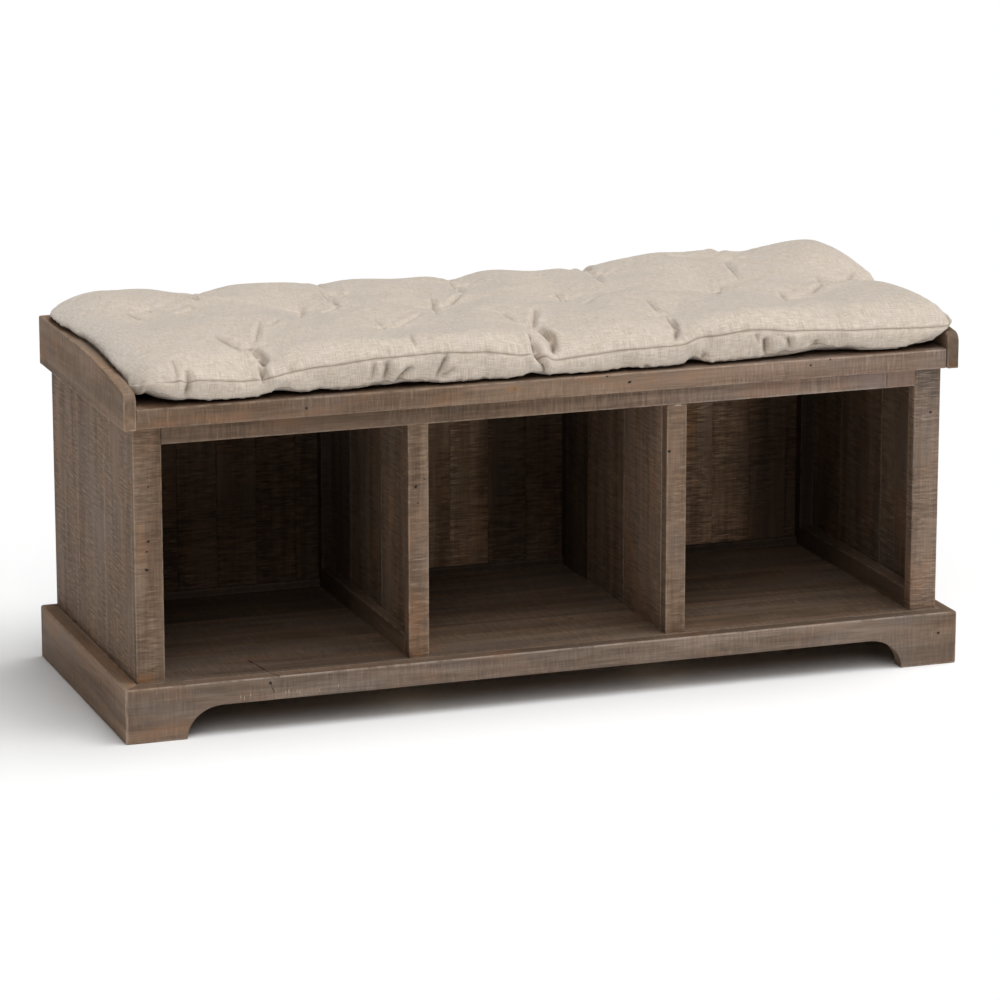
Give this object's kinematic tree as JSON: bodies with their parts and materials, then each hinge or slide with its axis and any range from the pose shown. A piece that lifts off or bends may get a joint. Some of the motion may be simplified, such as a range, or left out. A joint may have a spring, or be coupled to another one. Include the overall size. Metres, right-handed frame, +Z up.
{
  "type": "entryway bench",
  "caption": "Long low storage bench with open cubbies, plank sides, shaped arm rails and a loose tufted seat cushion, on a bracket-foot plinth.",
  "frame": {"origin": "on the floor, under the middle of the plinth", "axes": "+X along the bench's length to the sitter's left, +Y towards the back, +Z up; the open front faces -Y"},
  "size_m": [1.25, 0.482, 0.5503],
  "materials": {
    "weathered_pine": "matt grey-brown weathered stain over saw-marked pine",
    "raw_pine": "unfinished pine",
    "beech_dowel": "plain beech",
    "screw_steel": "zinc plated",
    "linen": "oatmeal plain-weave linen"
  },
  "bodies": {
    "bench": {"arm_rail_dowels": "beech_dowel", "back_boards_centre": "weathered_pine", "back_boards_left": "weathered_pine", "back_boards_right": "weathered_pine", "back_strips": "weathered_pine", "case_screws": "screw_steel", "corner_block_front_left": "raw_pine", "corner_block_front_right": "raw_pine", "corner_block_rear_left": "raw_pine", "corner_block_rear_right": "raw_pine", "floor_batten_left": "raw_pine", "floor_batten_right": "raw_pine", "floor_board_front": "weathered_pine", "floor_board_middle": "weathered_pine", "floor_board_rear": "weathered_pine", "floor_cleat_left": "raw_pine", "floor_cleat_right": "raw_pine", "left_arm_rail": "weathered_pine", "left_divider_back_post": "weathered_pine", "left_divider_bottom_rail": "weathered_pine", "left_divider_front_post": "weathered_pine", "left_divider_plank_front": "weathered_pine", "left_divider_plank_middle": "weathered_pine", "left_divider_plank_rear": "weathered_pine", "left_divider_top_rail": "weathered_pine", "left_end_back_stile": "weathered_pine", "left_end_bottom_rail": "weathered_pine", "left_end_front_stile": "weathered_pine", "left_end_plank_front": "weathered_pine", "left_end_plank_middle": "weathered_pine", "left_end_plank_rear": "weathered_pine", "left_end_top_rail": "weathered_pine", "plinth_back_rail": "weathered_pine", "plinth_front_rail": "weathered_pine", "plinth_left_rail": "weathered_pine", "plinth_right_rail": "weathered_pine", "right_arm_rail": "weathered_pine", "right_divider_back_post": "weathered_pine", "right_divider_bottom_rail": "weathered_pine", "right_divider_front_post": "weathered_pine", "right_divider_plank_front": "weathered_pine", "right_divider_plank_middle": "weathered_pine", "right_divider_plank_rear": "weathered_pine", "right_divider_top_rail": "weathered_pine", "right_end_back_stile": "weathered_pine", "right_end_bottom_rail": "weathered_pine", "right_end_front_stile": "weathered_pine", "right_end_plank_front": "weathered_pine", "right_end_plank_middle": "weathered_pine", "right_end_plank_rear": "weathered_pine", "right_end_top_rail": "weathered_pine", "seat_board_front": "weathered_pine", "seat_board_middle": "weathered_pine", "seat_board_rear": "weathered_pine", "seat_screws": "screw_steel", "top_back_rail": "weathered_pine", "top_front_rail": "weathered_pine"},
    "cushion": {"cushion": "linen"}
  },
  "joints": [
    {"name": "cushion_lift", "type": "slide", "parent": "bench", "child": "cushion", "axis": [0, 0, 1], "range_m": [0, 0.2]}
  ]
}
